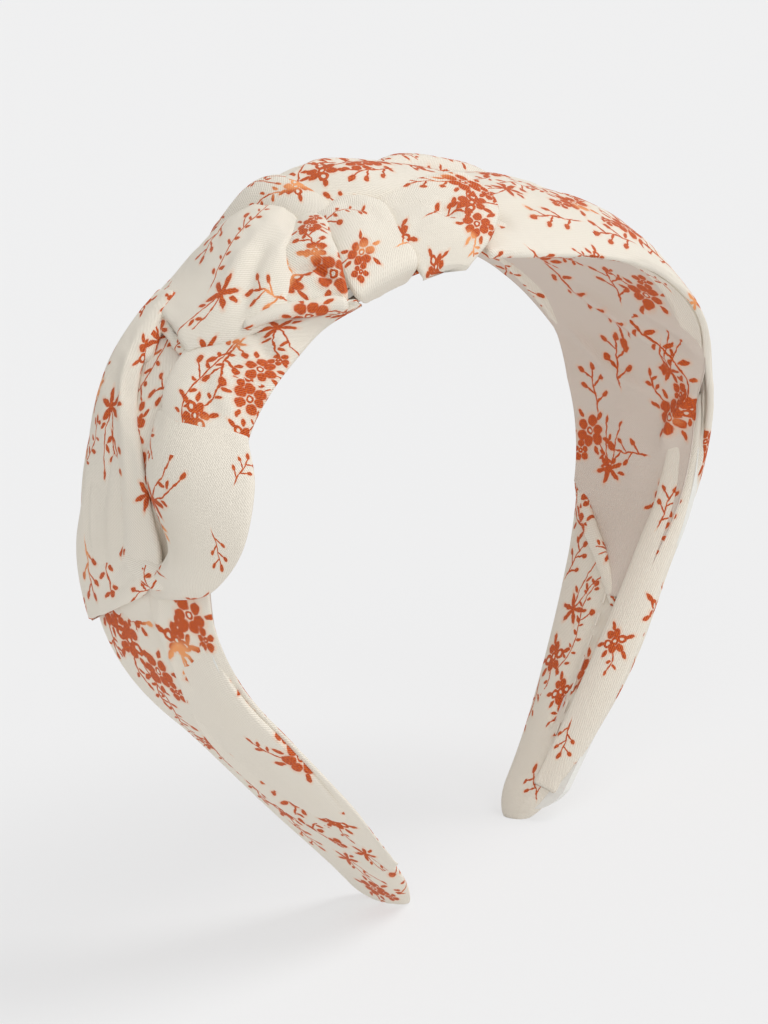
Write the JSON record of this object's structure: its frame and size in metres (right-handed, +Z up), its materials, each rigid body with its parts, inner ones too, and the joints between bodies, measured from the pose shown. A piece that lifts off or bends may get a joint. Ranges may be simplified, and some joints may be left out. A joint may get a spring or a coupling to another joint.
{
  "type": "knotted headband",
  "caption": "Hair band: a sprung open arch wrapped in printed satin cloth that is gathered and knotted over the crown and one temple.",
  "frame": {"origin": "centre of the footprint, on the surface that the two tips stand on", "axes": "+Z up through the crown, +X across the arch from one temple to the other, +Y across the band's width from its front edge to its back edge"},
  "size_m": [0.1596, 0.056, 0.148],
  "materials": {
    "printed_cloth": "cream satin twill with a rust floral print",
    "printed_cloth_inside": "the same cloth, lining the inside",
    "foam": "soft open-cell foam",
    "band_plastic": "moulded, matt",
    "thread": "spun polyester sewing thread"
  },
  "bodies": {
    "root": {"spring_band": "band_plastic", "foam_pad": "foam", "lining": "printed_cloth_inside", "left_leg_wrap": "printed_cloth", "right_leg_wrap": "printed_cloth", "left_knot_loop": "printed_cloth", "left_knot_drape": "printed_cloth", "left_shoulder_fold": "printed_cloth", "left_shoulder_drape": "printed_cloth", "shoulder_knot": "printed_cloth", "crown_knot_tail": "printed_cloth", "crown_knot_loop": "printed_cloth", "crown_back_drape": "printed_cloth", "right_drape": "printed_cloth", "left_seam_thread": "thread", "right_seam_thread": "thread", "knot_tack_threads": "thread"}
  },
  "joints": []
}
